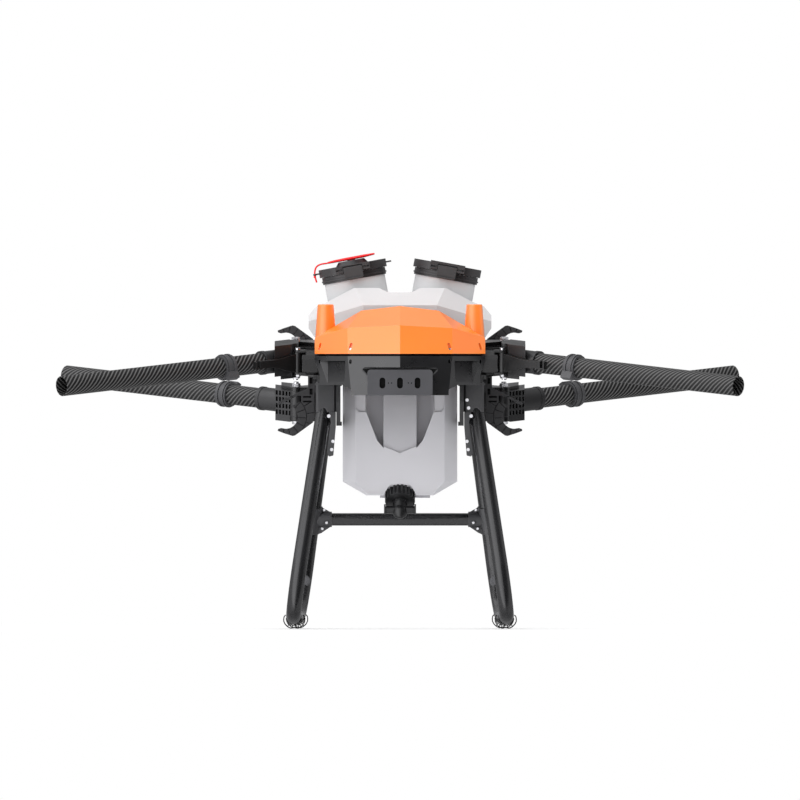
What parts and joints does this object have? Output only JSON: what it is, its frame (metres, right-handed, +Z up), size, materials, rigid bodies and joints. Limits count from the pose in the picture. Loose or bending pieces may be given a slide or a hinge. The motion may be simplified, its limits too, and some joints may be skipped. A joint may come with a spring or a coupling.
{
  "type": "spray drone airframe",
  "caption": "Agricultural spray drone airframe: folding carbon arms on tilted hinges, faceted front hood, lift-out translucent tank with twin filler caps, and U-shaped skid legs.",
  "frame": {"origin": "on the ground, under the middle of the craft between the left and right arms and halfway between the front and rear arm hinges", "axes": "+Z up, front of the craft towards -Y, +X to the right seen from the front"},
  "size_m": [1.3668, 1.0832, 0.7503],
  "materials": {
    "grey_nylon": "moulded nylon with ribs",
    "carbon_tube": "diagonal woven carbon under clear resin",
    "black_nylon": "moulded glass-filled nylon",
    "tray_black": "moulded black plastic",
    "carbon_plate": "woven carbon plate, satin",
    "socket_black": "moulded nylon",
    "black_tube": "satin black tube",
    "cap_black": "moulded black plastic",
    "basket_white": "moulded mesh basket",
    "steel": "bright steel",
    "black_shell": "satin black moulded shell",
    "orange_shell": "smooth orange moulded shell",
    "lever_black": "dark moulded nylon",
    "latch_black": "moulded nylon",
    "rubber_black": "matte rubber",
    "outlet_black": "moulded black plastic",
    "silicone_red": "bright red silicone",
    "circuit_green": "coated circuit board",
    "sensor_black": "satin black plate",
    "black_plate": "fine moulded grain",
    "tank_poly": "translucent natural polyethylene"
  },
  "bodies": {
    "airframe": {"arm_rest_left": "grey_nylon", "arm_rest_right": "grey_nylon", "battery_tray": "tray_black", "centre_plate": "carbon_plate", "crossbar_tee_left": "socket_black", "crossbar_tee_right": "socket_black", "crossbar_tube": "black_tube", "frame_bolts": "steel", "front_hood_lower": "black_shell", "front_hood_upper": "orange_shell", "hanger_straps": "socket_black", "hood_screws": "steel", "landing_leg_left": "black_tube", "landing_leg_right": "black_tube", "latch_bolts": "steel", "leg_sockets": "socket_black", "pivot_bolts": "steel", "power_board": "circuit_green", "root_bracket_front_left": "black_nylon", "root_bracket_front_right": "black_nylon", "root_bracket_rear_left": "black_nylon", "root_bracket_rear_right": "black_nylon", "sensor_plate": "sensor_black", "side_rail_left": "black_plate", "side_rail_right": "black_plate", "skid_pads": "rubber_black", "tank_rest_strips": "rubber_black"},
    "arm_front_left": {"arm_tube_front_left": "carbon_tube", "arm_yoke_front_left": "black_nylon", "ring_clamp_front_left": "black_nylon"},
    "lever_front_left": {"latch_lever_front_left": "lever_black"},
    "arm_front_right": {"arm_tube_front_right": "carbon_tube", "arm_yoke_front_right": "black_nylon", "ring_clamp_front_right": "black_nylon"},
    "lever_front_right": {"latch_lever_front_right": "lever_black"},
    "arm_rear_left": {"arm_tube_rear_left": "carbon_tube", "arm_yoke_rear_left": "black_nylon", "ring_clamp_rear_left": "black_nylon"},
    "lever_rear_left": {"latch_lever_rear_left": "lever_black"},
    "arm_rear_right": {"arm_tube_rear_right": "carbon_tube", "arm_yoke_rear_right": "black_nylon", "ring_clamp_rear_right": "black_nylon"},
    "lever_rear_right": {"latch_lever_rear_right": "lever_black"},
    "tank": {"tank_shell": "tank_poly", "filler_collar_left": "cap_black", "filler_collar_right": "cap_black", "filter_basket_left": "basket_white", "filter_basket_right": "basket_white", "lid_hinge_pins": "steel", "outlet_tee": "outlet_black"},
    "outlet_nut": {"outlet_nut": "outlet_black"},
    "lid_left": {"lid_left": "cap_black", "lid_seal_left": "rubber_black", "vent_dome": "cap_black", "plug_tether": "silicone_red"},
    "lid_right": {"lid_right": "cap_black", "lid_seal_right": "rubber_black"},
    "lid_latch_left": {"lid_latch_left": "latch_black"},
    "lid_latch_right": {"lid_latch_right": "latch_black"},
    "vent_plug": {"vent_plug": "silicone_red"}
  },
  "joints": [
    {"name": "arm_fold_front_left", "type": "hinge", "parent": "airframe", "child": "arm_front_left", "pos_m": [-0.208, -0.155, 0.5431], "axis": [0, 0.1564, -0.9877], "range_deg": [0, 126.87]},
    {"name": "latch_lever_front_left", "type": "hinge", "parent": "airframe", "child": "lever_front_left", "pos_m": [-0.204, -0.22019, 0.53278], "axis": [0, -0.1564, 0.9877], "range_deg": [0, 60]},
    {"name": "arm_fold_front_right", "type": "hinge", "parent": "airframe", "child": "arm_front_right", "pos_m": [0.208, -0.155, 0.5431], "axis": [0, -0.1564, 0.9877], "range_deg": [0, 126.87]},
    {"name": "latch_lever_front_right", "type": "hinge", "parent": "airframe", "child": "lever_front_right", "pos_m": [0.204, -0.22019, 0.53278], "axis": [0, 0.1564, -0.9877], "range_deg": [0, 60]},
    {"name": "arm_fold_rear_left", "type": "hinge", "parent": "airframe", "child": "arm_rear_left", "pos_m": [-0.208, 0.155, 0.4481], "axis": [0, -0.1564, 0.9877], "range_deg": [0, 126.87]},
    {"name": "latch_lever_rear_left", "type": "hinge", "parent": "airframe", "child": "lever_rear_left", "pos_m": [-0.204, 0.22019, 0.45842], "axis": [0, 0.1564, -0.9877], "range_deg": [0, 60]},
    {"name": "arm_fold_rear_right", "type": "hinge", "parent": "airframe", "child": "arm_rear_right", "pos_m": [0.208, 0.155, 0.4481], "axis": [0, 0.1564, -0.9877], "range_deg": [0, 126.87]},
    {"name": "latch_lever_rear_right", "type": "hinge", "parent": "airframe", "child": "lever_rear_right", "pos_m": [0.204, 0.22019, 0.45842], "axis": [0, -0.1564, 0.9877], "range_deg": [0, 60]},
    {"name": "tank_lift", "type": "slide", "parent": "airframe", "child": "tank", "axis": [0, 0, 1], "range_m": [0, 0.3]},
    {"name": "outlet_nut_turn", "type": "hinge", "parent": "tank", "child": "outlet_nut", "pos_m": [0, -0.079, 0.268], "axis": [0, -0.7071, -0.7071], "range_deg": [0, 180]},
    {"name": "lid_hinge_left", "type": "hinge", "parent": "tank", "child": "lid_left", "pos_m": [-0.09346, 0.076, 0.71394], "axis": [-0.9839, 0, -0.1788], "range_deg": [0, 110]},
    {"name": "lid_latch_left", "type": "hinge", "parent": "lid_left", "child": "lid_latch_left", "pos_m": [-0.09453, -0.0696, 0.71985], "axis": [-0.9839, 0, -0.1788], "range_deg": [0, 90]},
    {"name": "lid_hinge_right", "type": "hinge", "parent": "tank", "child": "lid_right", "pos_m": [0.09346, 0.076, 0.71394], "axis": [-0.9839, 0, 0.1788], "range_deg": [0, 110]},
    {"name": "lid_latch_right", "type": "hinge", "parent": "lid_right", "child": "lid_latch_right", "pos_m": [0.09453, -0.0696, 0.71985], "axis": [-0.9839, 0, 0.1788], "range_deg": [0, 90]},
    {"name": "vent_plug_pull", "type": "slide", "parent": "lid_left", "child": "vent_plug", "axis": [-0.1788, 0, 0.9839], "range_m": [0, 0.014]}
  ]
}
